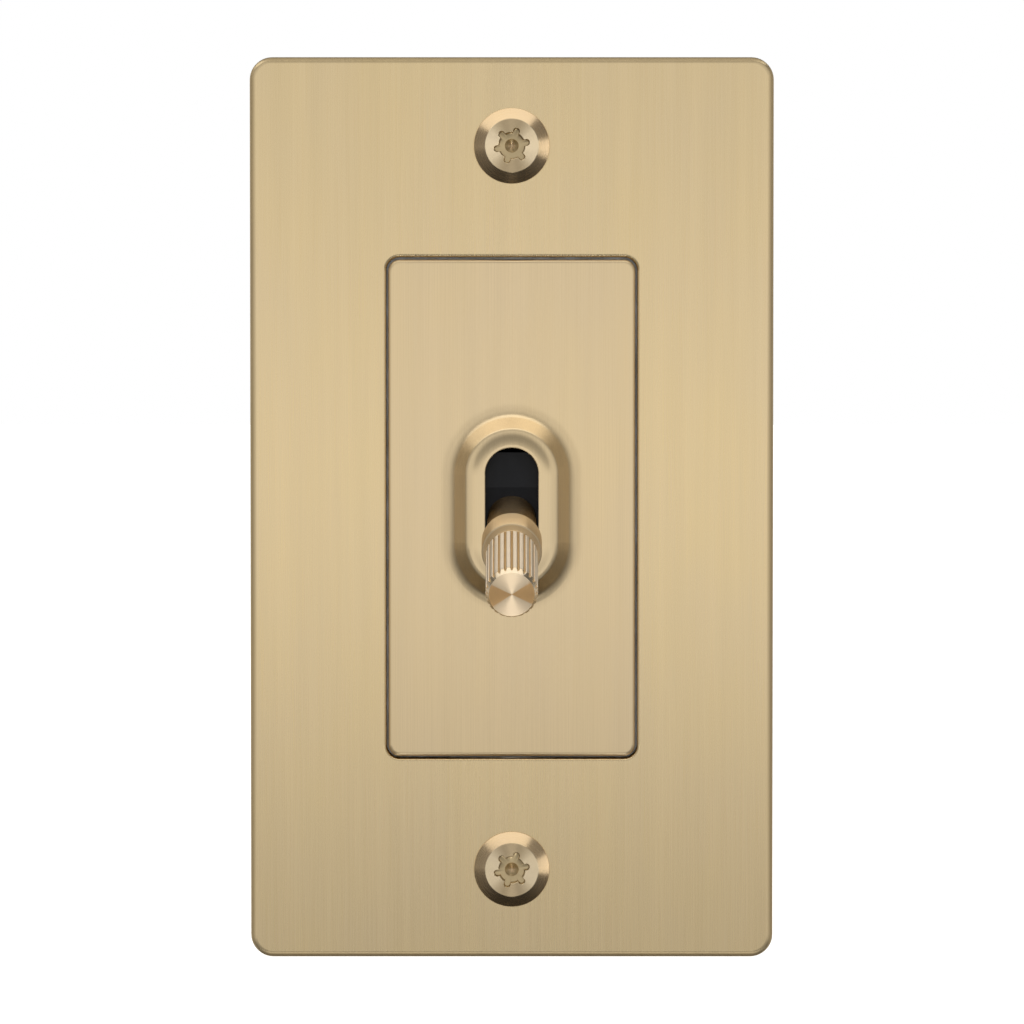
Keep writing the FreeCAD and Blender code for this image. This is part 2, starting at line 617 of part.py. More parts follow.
def rocking_contact():
    """Pressed strip, dished under the plunger, with a round rib behind that rocks in the cradle."""
    half_x = STRIP_WIDTH / 2
    back_turn = math.sqrt((STRIP_DISH_R + STRIP_THICK) ** 2 - (DISH_RISE + STRIP_THICK) ** 2)

    def on(y, z):
        return point(-half_x, y, z)

    front_low, front_high = on(ARM_FRONT_Y, -DISHED_HEIGHT / 2), on(ARM_FRONT_Y, DISHED_HEIGHT / 2)
    back_low, back_high = on(ARM_BACK_Y, -back_turn), on(ARM_BACK_Y, back_turn)
    arcs = [
        Part.Arc(front_low, on(FULCRUM_Y, 0), front_high).toShape(),
        Part.makeLine(on(ARM_FRONT_Y, STRIP_HEIGHT / 2), on(ARM_BACK_Y, STRIP_HEIGHT / 2)),
        Part.Arc(back_high, on(FULCRUM_Y + STRIP_THICK, 0), back_low).toShape(),
        Part.makeLine(on(ARM_BACK_Y, -STRIP_HEIGHT / 2), on(ARM_FRONT_Y, -STRIP_HEIGHT / 2)),
    ]
    strip = Part.Face(joined_outline(arcs)).extrude(point(STRIP_WIDTH, 0, 0))
    half_across = ACROSS * half_x
    dish_centre = FULCRUM + OUTWARD * STRIP_DISH_R
    rib = rod(2 * RIB_R, FULCRUM - half_across, FULCRUM + half_across)
    rib = rib.cut(rod(2 * STRIP_DISH_R, dish_centre - half_across, dish_centre + half_across))
    return [rocked(strip.fuse(rib).removeSplitter())]


def moving_contact_tips():
    """Domed silver tips on the back of the strip's arms."""
    seats = [point(0, ARM_BACK_Y, z) for z in (-TIP_Z, TIP_Z)]
    return [rocked(domed_rod(TIP_DIA, TIP_HEIGHT, TIP_DOME_R, seat, INWARD)) for seat in seats]


def fixed_contact_tips():
    """Domed silver tips on the front of the two outer terminals."""
    seats = [point(0, PAD_Y, z) for z in (-FIXED_TIP_Z, FIXED_TIP_Z)]
    return [domed_rod(TIP_DIA, TIP_HEIGHT, TIP_DOME_R, seat, OUTWARD) for seat in seats]


def bent_terminal(side, pad_y, z):
    """Brass strip that runs from the middle to one side wall, and forward along it past the wiring screw."""
    z_span = (z - TERMINAL_WIDTH / 2, z + TERMINAL_WIDTH / 2)
    wall_x = side * SIDE_X
    inner_x = side * (SIDE_X - TERMINAL_THICK)
    pad_end_x = -side * TERMINAL_PAD_PAST_MIDDLE
    front_y = TERMINAL_SCREW_Y - CLAMP_SIZE / 2 - CLAMP_WINDOW_GAP - TERMINAL_EDGE
    back_y = pad_y + TERMINAL_THICK
    strip = block(sorted((pad_end_x, wall_x)), (pad_y, back_y), z_span)
    strip = strip.fuse(block(sorted((inner_x, wall_x)), (front_y, back_y), z_span)).removeSplitter()
    bend = [
        edge
        for edge in strip.Edges
        if abs(edge.CenterOfMass.x - wall_x) < 1e-4 and abs(edge.CenterOfMass.y - back_y) < 1e-4
    ]
    strip = strip.makeFillet(TERMINAL_BEND_R, bend)
    hole_dia = TERMINAL_SCREW_DIA + 2 * SCREW_FIT
    return strip.cut(rod(hole_dia, point(inner_x, TERMINAL_SCREW_Y, z), point(wall_x, TERMINAL_SCREW_Y, z)))


def common_terminal():
    """Terminal with the cradle for the contact's rib."""
    strip = bent_terminal(*COMMON)
    half_x = STRIP_WIDTH / 2
    x_span = (-half_x, min(half_x, TERMINAL_PAD_PAST_MIDDLE))
    cradle_y = (FULCRUM_Y + CRADLE_RISE, COMMON_PAD_Y)
    strip = strip.fuse(block(x_span, cradle_y, (-CRADLE_HEIGHT / 2, CRADLE_HEIGHT / 2)))
    half_across = ACROSS * half_x
    groove_dia = 2 * (RIB_R + PIN_RUN_FIT)
    return [strip.cut(rod(groove_dia, FULCRUM - half_across, FULCRUM + half_across)).removeSplitter()]


def upper_terminal():
    return [bent_terminal(*UPPER)]


def lower_terminal():
    return [bent_terminal(*LOWER)]


def wiring_screw(side, pad_y, z):
    seat = point(side * (SIDE_X + CLAMP_THICK), TERMINAL_SCREW_Y, z)
    return slotted_screw(
        WIRING_HEAD_DIA, WIRING_HEAD_THICK, TERMINAL_SCREW_DIA, TERMINAL_SCREW_LENGTH, seat, ACROSS * -side
    )


def common_terminal_screw():
    return [wiring_screw(*COMMON)]


def traveller_terminal_screws():
    return [wiring_screw(*UPPER), wiring_screw(*LOWER)]


def terminal_clamps():
    """Square wire clamps between each wiring screw's head and its terminal."""
    clamps = []
    half = CLAMP_SIZE / 2
    for side, pad_y, z in TERMINALS:
        x_span = sorted((side * SIDE_X, side * (SIDE_X + CLAMP_THICK)))
        y_span = (TERMINAL_SCREW_Y - half, TERMINAL_SCREW_Y + half)
        clamp = block(x_span, y_span, (z - half, z + half))
        hole_dia = TERMINAL_SCREW_DIA + 2 * CLAMP_HOLE_CLEARANCE
        ends = [point(x, TERMINAL_SCREW_Y, z) for x in x_span]
        clamps.append(clamp.cut(rod(hole_dia, *ends)))
    return clamps


def housing_shell(y_front, y_back, cavity_front, cavity_back):
    """Outer block of one moulded half, and its cavity, which leaves a screw pillar in each corner."""
    shell = slab(HOUSING_WIDTH, HOUSING_HEIGHT, HOUSING_CORNER_R, y_front, y_back)
    inside = (HOUSING_WIDTH - 2 * HOUSING_WALL, HOUSING_HEIGHT - 2 * HOUSING_WALL)
    cavity = slab(*inside, HOUSING_CORNER_R / 2, cavity_front, cavity_back)
    for x, z in HOUSING_CORNERS:
        cavity = cavity.cut(rod(PILLAR_DIA, point(x, cavity_front, z), point(x, cavity_back, z)))
    return shell, cavity


def housing_cover():
    """Front half, with the rocker's window and the two bearing cheeks."""
    shell, cavity = housing_shell(0, COVER_DEPTH, COVER_FRONT, COVER_DEPTH)
    cover = shell.cut(cavity)
    cover = cover.cut(slab(WINDOW_WIDTH, WINDOW_HEIGHT, HOUSING_CORNER_R, 0, COVER_FRONT))
    cheek_back = PIVOT_DEPTH + PIN_DIA / 2 + CHEEK_WALL
    for side in (-1, 1):
        x_span = sorted((side * WINDOW_WIDTH / 2, side * pivot_pin_half_length()))
        cover = cover.fuse(block(x_span, (0, cheek_back), (-CHEEK_HEIGHT / 2, CHEEK_HEIGHT / 2)))
    half = ACROSS * pivot_pin_half_length()
    cover = cover.cut(rod(PIN_DIA + 2 * PIN_PRESS_FIT, PIVOT - half, PIVOT + half))
    hole_dia = HOUSING_SCREW_DIA + 2 * HOUSING_HOLE_CLEARANCE
    for x, z in HOUSING_CORNERS:
        cover = cover.cut(rod(hole_dia, point(x, 0, z), point(x, COVER_DEPTH, z)))
    return [cover.removeSplitter()]


def housing_base():
    """Back half, with posts under the terminals and a window in the side wall for each wiring screw."""
    floor_y = HOUSING_BACK_Y - BASE_FLOOR
    shell, cavity = housing_shell(COVER_DEPTH, HOUSING_BACK_Y, COVER_DEPTH, floor_y)
    base = round_edges_at(shell, HOUSING_BACK_Y, HOUSING_EDGE_R).cut(cavity)
    window_half = CLAMP_SIZE / 2 + CLAMP_WINDOW_GAP
    window_y = (TERMINAL_SCREW_Y - window_half, TERMINAL_SCREW_Y + window_half)
    for side, pad_y, z in TERMINALS:
        post_z = (z - POST_SIZE / 2, z + POST_SIZE / 2)
        post_y = (pad_y + TERMINAL_THICK, floor_y)
        base = base.fuse(block((-POST_SIZE / 2, POST_SIZE / 2), post_y, post_z))
        wall_x = sorted((side * SIDE_X, side * HOUSING_WIDTH / 2))
        base = base.cut(block(wall_x, window_y, (z - window_half, z + window_half)))
    hole_dia = HOUSING_SCREW_DIA + 2 * HOUSING_HOLE_CLEARANCE
    head_dia = HOUSING_SCREW_HEAD_DIA + 2 * HOUSING_HOLE_CLEARANCE
    for x, z in HOUSING_CORNERS:
        back = point(x, HOUSING_BACK_Y, z)
        base = base.cut(rod(hole_dia, point(x, COVER_DEPTH, z), back))
        base = base.cut(rod(head_dia, back + OUTWARD * HOUSING_SCREW_HEAD, back))
    return [base.removeSplitter()]


def housing_screws():
    """Long screws from the back of the housing into the yoke, with sunk heads."""
    seat_y = HOUSING_BACK_Y - HOUSING_SCREW_HEAD
    return [
        slotted_screw(
            HOUSING_SCREW_HEAD_DIA, HOUSING_SCREW_HEAD, HOUSING_SCREW_DIA, seat_y + YOKE_THICK,
            point(x, seat_y, z), OUTWARD,
        )
        for x, z in HOUSING_CORNERS
    ]


PIECES = [
    cover_plate,
    plate_screws,
    centre_plate,
    centre_plate_screws,
    yoke,
    earth_screw,
    dolly,
    rocker,
    pivot_pin,
    plunger,
    plunger_spring,
    rocking_contact,
    moving_contact_tips,
    common_terminal,
    upper_terminal,
    lower_terminal,
    fixed_contact_tips,
    common_terminal_screw,
    traveller_terminal_screws,
    terminal_clamps,
    housing_cover,
    housing_base,
    housing_screws,
]

os.makedirs("parts", exist_ok=True)
for piece in PIECES:
    solids = piece()
    shape = solids[0] if len(solids) == 1 else Part.makeCompound(solids)
    shape.exportStep(f"parts/{piece.__name__}.step")
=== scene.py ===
import bmesh
import bpy
import math
from mathutils import Matrix, Vector


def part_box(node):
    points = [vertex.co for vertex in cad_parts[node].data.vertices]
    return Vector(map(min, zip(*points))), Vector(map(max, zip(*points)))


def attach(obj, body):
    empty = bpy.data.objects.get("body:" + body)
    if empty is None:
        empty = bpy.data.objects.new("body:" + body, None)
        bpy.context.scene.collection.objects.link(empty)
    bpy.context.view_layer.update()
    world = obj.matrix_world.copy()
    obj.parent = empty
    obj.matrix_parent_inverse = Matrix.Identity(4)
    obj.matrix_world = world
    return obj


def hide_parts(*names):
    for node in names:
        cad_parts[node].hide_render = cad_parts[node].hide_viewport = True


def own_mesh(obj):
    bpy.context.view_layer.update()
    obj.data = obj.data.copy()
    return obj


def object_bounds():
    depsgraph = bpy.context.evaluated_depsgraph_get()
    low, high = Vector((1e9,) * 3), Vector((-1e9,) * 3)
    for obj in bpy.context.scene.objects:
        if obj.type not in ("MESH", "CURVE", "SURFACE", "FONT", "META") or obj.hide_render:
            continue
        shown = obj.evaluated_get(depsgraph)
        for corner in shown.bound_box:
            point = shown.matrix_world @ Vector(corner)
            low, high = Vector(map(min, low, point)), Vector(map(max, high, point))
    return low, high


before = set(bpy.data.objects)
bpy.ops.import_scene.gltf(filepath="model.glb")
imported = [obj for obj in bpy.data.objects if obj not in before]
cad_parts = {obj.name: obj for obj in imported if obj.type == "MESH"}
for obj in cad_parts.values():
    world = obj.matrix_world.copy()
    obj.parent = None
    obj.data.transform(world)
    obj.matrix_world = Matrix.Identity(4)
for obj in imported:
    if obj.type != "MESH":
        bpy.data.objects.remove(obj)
cad_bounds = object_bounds()


# Yoke
# A flat strap pressed from steel sheet and zinc plated, with an ear at each end and a bent earth tab.
# Screws through its ears hold it to the wall box, and every other piece hangs on it.
MM = 0.001
noise_low, noise_high = 0.3, 0.7
bump_strength = 0.5
white = (1.0, 1.0, 1.0)


def node(tree, kind, inputs=None, **settings):
    """Add a node, set its options, and link or set its inputs."""
    made = tree.nodes.new(kind)
    for key, value in settings.items():
        setattr(made, key, value)
    for key, value in (inputs or {}).items():
        if isinstance(value, bpy.types.NodeSocket):
            tree.links.new(value, made.inputs[key])
        else:
            made.inputs[key].default_value = value
    return made


def finish(name, **fixed):
    """Material of that name, its node tree and its shader, with the shader's constant sockets set."""
    material = bpy.data.materials.new(name)
    material.use_nodes = True
    tree = material.node_tree
    shader = tree.nodes["Principled BSDF"]
    for key, value in fixed.items():
        shader.inputs[key.replace("_", " ").title().replace("Ior", "IOR")].default_value = value
    return material, tree, shader


def grain(tree, size_mm, detail=2.0):
    """Noise whose features have the given size along each axis of the object."""
    place = node(tree, "ShaderNodeTexCoord").outputs["Object"]
    scale = [1 / (size * MM) for size in size_mm]
    spread = node(tree, "ShaderNodeMapping", {"Vector": place, "Scale": scale}).outputs[0]
    return node(tree, "ShaderNodeTexNoise", {"Vector": spread, "Scale": 1.0, "Detail": detail}).outputs[0]


def fades(tree, value, start, end, first=1.0, last=0.0):
    """Number that goes from first to last while a value goes from start to end, and stays there."""
    return node(tree, "ShaderNodeMapRange", {0: value, 1: start, 2: end, 3: first, 4: last}).outputs[0]


def between(tree, noise, low, high):
    """Number that wanders between two values with a noise."""
    return fades(tree, noise, noise_low, noise_high, low, high)


def tint(tree, noise, low, high):
    """Colour that wanders between two tints with a noise."""
    made = node(tree, "ShaderNodeValToRGB", {0: noise})
    first, last = made.color_ramp.elements
    first.position, last.position = noise_low, noise_high
    first.color, last.color = (*low, 1), (*high, 1)
    return made.outputs[0]


def times(tree, first, second):
    """Product of two colours."""
    made = node(tree, "ShaderNodeMix", {0: 1.0, 6: first, 7: second}, data_type="RGBA", blend_type="MULTIPLY")
    return made.outputs[2]


def marked(tree, colour, marks, dark):
    """Colour with darker marks where a noise is low."""
    return times(tree, colour, tint(tree, marks, dark, white))


def dress(tree, shader, colour, roughness, height, depth_mm):
    """Give the shader its colour, roughness and bump."""
    tree.links.new(colour, shader.inputs["Base Color"])
    tree.links.new(roughness, shader.inputs["Roughness"])
    bump = node(
        tree, "ShaderNodeBump", {"Height": height, "Strength": bump_strength, "Distance": depth_mm * MM}
    )
    tree.links.new(bump.outputs[0], shader.inputs["Normal"])


def coat(material, *names):
    """Put a material on whole CAD pieces."""
    for name in names:
        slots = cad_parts[name].data.materials
        slots.clear()
        slots.append(material)


zinc_tints = (0.56, 0.58, 0.60), (0.70, 0.70, 0.66)
zinc, tree, shader = finish("zinc_plate", metallic=1.0)
spangle = grain(tree, (2.2, 2.2, 2.2), detail=3.0)
rolled = grain(tree, (0.25, 0.25, 5.0))
colour = marked(tree, tint(tree, spangle, *zinc_tints), rolled, (0.90, 0.90, 0.90))
dress(tree, shader, colour, between(tree, spangle, 0.28, 0.46), rolled, depth_mm=0.02)
coat(zinc, "yoke")


# Housing
# Two halves moulded in a dark thermosetting resin, with a faint flow mottle and a fine matt skin.
# Four long screws from the back hold both halves to the yoke.
resin, tree, shader = finish("dark_resin")
mottle = grain(tree, (6.0, 6.0, 9.0), detail=4.0)
skin = grain(tree, (0.18, 0.18, 0.18), detail=3.0)
colour = tint(tree, mottle, (0.016, 0.016, 0.018), (0.030, 0.030, 0.033))
dress(tree, shader, colour, between(tree, skin, 0.36, 0.52), skin, depth_mm=0.03)
coat(resin, "housing_base", "housing_cover")


# Terminals and wire clamps
# Strips stamped and bent from bright brass sheet with faint rolling lines, and square zinc-plated washers.
# Each strip drops between the housing's posts and wall, and its clamp sits under a wiring screw.
strip_brass, tree, shader = finish("terminal_brass", metallic=1.0)
rolled = grain(tree, (0.2, 4.0, 0.2))
tarnish = grain(tree, (3.0, 3.0, 3.0), detail=3.0)
colour = tint(tree, tarnish, (0.72, 0.50, 0.22), (0.83, 0.63, 0.31))
colour = marked(tree, colour, rolled, (0.92, 0.92, 0.92))
dress(tree, shader, colour, between(tree, tarnish, 0.22, 0.36), rolled, depth_mm=0.02)
coat(strip_brass, "common_terminal", "upper_terminal", "lower_terminal")
coat(zinc, "terminal_clamps")


# Rocking contact and contact tips
# A strip pressed from springy bronze, with silver tips riveted to it and to the two outer terminals.
# The plunger rocks the strip in the common terminal's cradle.
bronze, tree, shader = finish("contact_bronze", metallic=1.0)
pressed = grain(tree, (0.25, 0.25, 3.0))
colour = tint(tree, pressed, (0.56, 0.32, 0.16), (0.68, 0.42, 0.23))
dress(tree, shader, colour, between(tree, pressed, 0.24, 0.34), pressed, depth_mm=0.02)
coat(bronze, "rocking_contact")

silver, tree, shader = finish("contact_silver", metallic=1.0)
burnish = grain(tree, (0.6, 0.6, 0.6), detail=3.0)
colour = tint(tree, burnish, (0.72, 0.70, 0.66), (0.88, 0.87, 0.84))
dress(tree, shader, colour, between(tree, burnish, 0.18, 0.34), burnish, depth_mm=0.02)
coat(silver, "moving_contact_tips", "fixed_contact_tips")


# Pivot pin and plunger
# The pin is ground steel, pressed into the housing's cheeks. The plunger is turned from natural nylon.
# The rocker turns on the pin and carries the plunger in its bored tail.
ground, tree, shader = finish("ground_pin", metallic=1.0)
grinding = grain(tree, (0.12, 2.0, 2.0))
colour = tint(tree, grinding, (0.48, 0.49, 0.50), (0.60, 0.61, 0.62))
dress(tree, shader, colour, between(tree, grinding, 0.16, 0.26), grinding, depth_mm=0.01)
coat(ground, "pivot_pin")

nylon, tree, shader = finish("plunger_nylon", subsurface_weight=0.15)
turning = grain(tree, (1.5, 0.15, 1.5))
colour = tint(tree, turning, (0.74, 0.71, 0.62), (0.82, 0.80, 0.72))
dress(tree, shader, colour, between(tree, turning, 0.34, 0.46), turning, depth_mm=0.02)
coat(nylon, "plunger")


# Small screws
# Slotted screws for the wires and the housing, and countersunk ones for the centre plate, all cut on a lathe.
# The travellers' wiring screws are brass. The common one is blackened steel and the earth one is dyed green.
worn_rougher = 0.14


def screw_finish(name, low, high, roughness):
    """Metal with fine turning marks and a little wear."""
    material, tree, shader = finish(name, metallic=1.0)
    turning = grain(tree, (0.15, 0.6, 0.6))
    wear = grain(tree, (1.2, 1.2, 1.2), detail=3.0)
    colour = marked(tree, tint(tree, wear, low, high), turning, (0.88, 0.88, 0.88))
    rough = between(tree, wear, roughness, roughness + worn_rougher)
    dress(tree, shader, colour, rough, turning, depth_mm=0.02)
    return material


zinc_screw = screw_finish("zinc_screw", *zinc_tints, 0.26)
brass_screw = screw_finish("brass_screw", (0.72, 0.50, 0.22), (0.84, 0.63, 0.31), 0.24)
green_screw = screw_finish("green_screw", (0.03, 0.20, 0.06), (0.07, 0.32, 0.11), 0.30)
dark_screw = screw_finish("dark_screw", (0.045, 0.042, 0.040), (0.10, 0.09, 0.08), 0.30)
coat(zinc_screw, "centre_plate_screws", "housing_screws")
coat(brass_screw, "traveller_terminal_screws")
coat(green_screw, "earth_screw")
coat(dark_screw, "common_terminal_screw")


# Rocker
# A black moulding with a flat land round the dolly and two sloping wings that close the slot.
# The dolly screws into it, and it turns on the pin behind the centre plate.
black, tree, shader = finish("black_moulding", specular_ior_level=0.35)
flow = grain(tree, (2.5, 2.5, 4.0), detail=3.0)
scuff = grain(tree, (0.10, 0.10, 2.5))
colour = tint(tree, flow, (0.006, 0.0067, 0.010), (0.010, 0.011, 0.016))
colour = marked(tree, colour, scuff, (0.85, 0.85, 0.85))
dress(tree, shader, colour, between(tree, scuff, 0.34, 0.46), scuff, depth_mm=0.01)
coat(black, "rocker")


# Centre plate
# A brass plate with a raised oval surround pressed round the slot, brushed up and down and lacquered.
# The brushing is partly worn off on the surround's slope.
# Four screws through the yoke hold the plate by its bosses.
brushed_swing = 0.025


def sums(tree, operation, first, second=0.0, third=0.0):
    """Result of one step of arithmetic."""
    return node(tree, "ShaderNodeMath", {0: first, 1: second, 2: third}, operation=operation).outputs[0]


def brushed_brass(name, low, high, roughness, worn, worn_roughness, worn_streak):
    """Satin brass brushed along Z, with fine bright and dark lines over broad soft bands.
    The function worn gives, from the coordinates of a place, how far the brushing is worn off there."""
    material, tree, shader = finish(name, metallic=1.0)
    lines = grain(tree, (0.12, 0.12, 16.0), detail=3.0)
    bands = grain(tree, (1.4, 1.4, 45.0))
    clouds = grain(tree, (9.0, 9.0, 22.0))
    colour = marked(tree, tint(tree, clouds, low, high), bands, (0.965, 0.965, 0.965))
    colour = marked(tree, colour, lines, (0.91, 0.90, 0.88))
    place = node(tree, "ShaderNodeTexCoord").outputs["Object"]
    share = worn(tree, *node(tree, "ShaderNodeSeparateXYZ", {0: place}).outputs)
    brushed = between(tree, lines, roughness - brushed_swing, roughness + brushed_swing)
    rough = sums(tree, "MULTIPLY_ADD", share, worn_roughness - roughness, brushed)
    dress(tree, shader, colour, rough, lines, depth_mm=0.004)
    streak = sums(tree, "MULTIPLY_ADD", share, worn_streak - 1.0, 1.0)
    tree.links.new(streak, shader.inputs["Anisotropic"])
    across = node(tree, "ShaderNodeTangent", direction_type="RADIAL", axis="Z")
    tree.links.new(across.outputs[0], shader.inputs["Tangent"])
    return material, tree, shader, colour


slot_straight = 4.55 * MM
slope_middle, slope_half, slope_end = 7.3 * MM, 1.5 * MM, 2.25 * MM


def on_slope(tree, x, y, z):
    """One on the slope of the surround, and nothing elsewhere."""
    past_straight = sums(tree, "MAXIMUM", sums(tree, "SUBTRACT", sums(tree, "ABSOLUTE", z), slot_straight), 0.0)
    square = sums(tree, "MULTIPLY_ADD", x, x, sums(tree, "MULTIPLY", past_straight, past_straight))
    off_slope = sums(tree, "ABSOLUTE", sums(tree, "SUBTRACT", sums(tree, "SQRT", square), slope_middle))
    return fades(tree, off_slope, slope_half, slope_end)


centre_brass, *_ = brushed_brass(
    "centre_brass", (0.92, 0.725, 0.45), (0.94, 0.735, 0.435), roughness=0.30,
    worn=on_slope, worn_roughness=0.36, worn_streak=0.6,
)
coat(centre_brass, "centre_plate")


# Cover plate
# A thick brass plate with a milled opening and hollowed back, brushed up and down and lacquered.
# Its rim meets the wall and two coin-headed screws hold it. The brushing is worn off its rounded edge, and a
# band along its top edge is darkened as painted shade.
plate_low, plate_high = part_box("cover_plate")
edge_width = 0.9 * MM
# The first share is where the brushing starts to wear off the edge; the second is where the painted shade along
# the top edge is deepest.
bare_share, painted_shade_share = 0.4, 0.3
painted_top_shade = 0.55


def on_edge(tree, x, y, z):
    """One on the rounded edge, and nothing on the flat face."""
    inset_x = sums(tree, "SUBTRACT", plate_high.x, sums(tree, "ABSOLUTE", x))
    inset_z = sums(tree, "SUBTRACT", plate_high.z, sums(tree, "ABSOLUTE", z))
    return fades(tree, sums(tree, "MINIMUM", inset_x, inset_z), bare_share * edge_width, edge_width)


cover_brass, tree, shader, colour = brushed_brass(
    "cover_brass", (0.90, 0.71, 0.425), (0.92, 0.72, 0.41), roughness=0.28,
    worn=on_edge, worn_roughness=0.6, worn_streak=0.0,
)
# Painted shade: the colour of a band along the top edge is darkened to a little over half, fading out over the
# edge's width.
place = node(tree, "ShaderNodeTexCoord").outputs["Object"]
rise = node(tree, "ShaderNodeSeparateXYZ", {0: place}).outputs["Z"]
below_top = sums(tree, "SUBTRACT", plate_high.z, rise)
shade = fades(tree, below_top, painted_shade_share * edge_width, edge_width, painted_top_shade, 1.0)
painted_shade_colour = node(tree, "ShaderNodeVectorMath", {0: colour, "Scale": shade}, operation="SCALE").outputs[0]
tree.links.new(painted_shade_colour, shader.inputs["Base Color"])
coat(cover_brass, "cover_plate")


# Plate screws
# Turned brass screws whose proud heads have a wide bevel, a flat face and a six-lobe recess.
# They pass through the cover plate and thread into the yoke.
turned_crease = math.radians(28)
turned_swing = 0.03
groove_stretch = (160.0, 2.0, 1.0)
uv_per_metre = 100
hair = 1e-6


def turned_mesh(name, rows, angles):
    """Closed lathe form round the local -Y axis from (distance along it, radius) rows.
    A radius may be a function of the angle. The UV map runs along the cut and round the turn."""
    made = bmesh.new()
    turning = made.loops.layers.uv.new("turning")
    count = len(angles)
    rings = []
    length = 0.0
    before = None
    for along, radius in rows:
        radii = [radius(angle) if callable(radius) else radius for angle in angles]
        mean = sum(radii) / count
        if before:
            length += math.hypot(along - before[0], mean - before[1])
        before = (along, mean)
        if mean == 0:
            ring = [made.verts.new((0, -along, 0))] * count
        else:
            ring = [
                made.verts.new((reach * math.sin(angle), -along, reach * math.cos(angle)))
                for reach, angle in zip(radii, angles)
            ]
        rings.append((length, ring))
    for (near, low), (far, high) in zip(rings, rings[1:]):
        for index in range(count):
            after = (index + 1) % count
            corners = [
                (low[index], near, index), (low[after], near, index + 1),
                (high[after], far, index + 1), (high[index], far, index),
            ]
            kept = []
            for corner in corners:
                if corner[0] not in [other[0] for other in kept]:
                    kept.append(corner)
            face = made.faces.new([vert for vert, along, turn in kept])
            for loop, (vert, along, turn) in zip(face.loops, kept):
                loop[turning].uv = (along * uv_per_metre, turn / count)
    bmesh.ops.recalc_face_normals(made, faces=made.faces)
    mesh = bpy.data.meshes.new(name)
    made.to_mesh(mesh)
    made.free()
    mesh.shade_smooth()
    mesh.set_sharp_from_angle(angle=turned_crease)
    return mesh


def turned_brass(name, low, high, roughness, spread, painted_shade_wedge=None):
    """Lathe-cut brass whose fine grooves run round the turn and spread the light across them.
    The wedge, if given, is painted shade: a turn in degrees, two widths between which it fades in, and its
    tint. It darkens two opposite sectors round the turn in place of the dark wedges that light makes on a
    turned face."""
    material, tree, shader = finish(name, metallic=1.0, anisotropic=spread)
    turn = node(tree, "ShaderNodeUVMap", uv_map="turning").outputs[0]
    place = node(tree, "ShaderNodeMapping", {"Vector": turn, "Scale": groove_stretch}).outputs[0]
    grooves = node(tree, "ShaderNodeTexNoise", {"Vector": place, "Scale": 4.0, "Detail": 3.0}).outputs[0]
    clouds = grain(tree, (3.0, 3.0, 3.0))
    colour = marked(tree, tint(tree, clouds, low, high), grooves, (0.92, 0.915, 0.90))
    # Painted shade: two opposite sectors round the turn are darkened towards the wedge's tint.
    if painted_shade_wedge:
        phase, start, end, dark = painted_shade_wedge
        share = node(tree, "ShaderNodeSeparateXYZ", {0: turn}).outputs["Y"]
        angle = sums(tree, "MULTIPLY_ADD", share, 2 * math.pi, math.radians(phase))
        across = sums(tree, "ABSOLUTE", sums(tree, "COSINE", angle))
        painted_wedge_share = fades(tree, across, start, end, 0.0, 1.0)
        colour = times(tree, colour, tint(tree, painted_wedge_share, white, dark))
    rough = between(tree, grooves, roughness - turned_swing, roughness + turned_swing)
    dress(tree, shader, colour, rough, grooves, depth_mm=0.003)
    along = node(tree, "ShaderNodeTangent", direction_type="UV_MAP", uv_map="turning")
    tree.links.new(along.outputs[0], shader.inputs["Tangent"])
    return material


def tree_with(name, *sizes):
    """Empty geometry tree with a named input for each size, and its group input and output."""
    tree = bpy.data.node_groups.new(name, "GeometryNodeTree")
    tree.interface.new_socket("Geometry", in_out="INPUT", socket_type="NodeSocketGeometry")
    for size, kind in sizes:
        tree.interface.new_socket(size, in_out="INPUT", socket_type="NodeSocket" + kind)
    tree.interface.new_socket("Geometry", in_out="OUTPUT", socket_type="NodeSocketGeometry")
    return tree, tree.nodes.new("NodeGroupInput").outputs, tree.nodes.new("NodeGroupOutput").inputs


def grown(name, mesh, tree, place=None, **sizes):
    """Piece that a geometry tree makes from a mesh, as a plain mesh in its place."""
    blank = bpy.data.objects.new(name + "_blank", mesh)
    bpy.context.scene.collection.objects.link(blank)
    modifier = blank.modifiers.new(name, "NODES")
    modifier.node_group = tree
    for item in tree.interface.items_tree:
        if item.in_out == "INPUT" and item.name in sizes:
            modifier[item.identifier] = sizes[item.name]
    evaluated = blank.evaluated_get(bpy.context.evaluated_depsgraph_get())
    plain = bpy.data.meshes.new_from_object(evaluated)
    blank.modifiers.remove(modifier)
    bpy.data.objects.remove(blank)
    if place:
        plain.transform(place)
    plain.name = name
    piece = bpy.data.objects.new(name, plain)
    bpy.context.scene.collection.objects.link(piece)
    return piece


def off_axis(tree, x, z):
    """Distance from an axis."""
    return sums(tree, "SQRT", sums(tree, "ADD", sums(tree, "MULTIPLY", x, x), sums(tree, "MULTIPLY", z, z)))


def round_place(tree):
    """Place of each point of a lathe form, and its distance along the local -Y axis, radius and angle."""
    where = node(tree, "GeometryNodeInputPosition").outputs[0]
    x, y, z = node(tree, "ShaderNodeSeparateXYZ", {0: where}).outputs
    return where, sums(tree, "MULTIPLY", y, -1.0), off_axis(tree, x, z), sums(tree, "ARCTAN2", x, z)


def passes(tree, operation, value, bound):
    """True where a value is on the named side of a bound."""
    return node(tree, "FunctionNodeCompare", {0: value, 1: bound}, operation=operation).outputs[0]


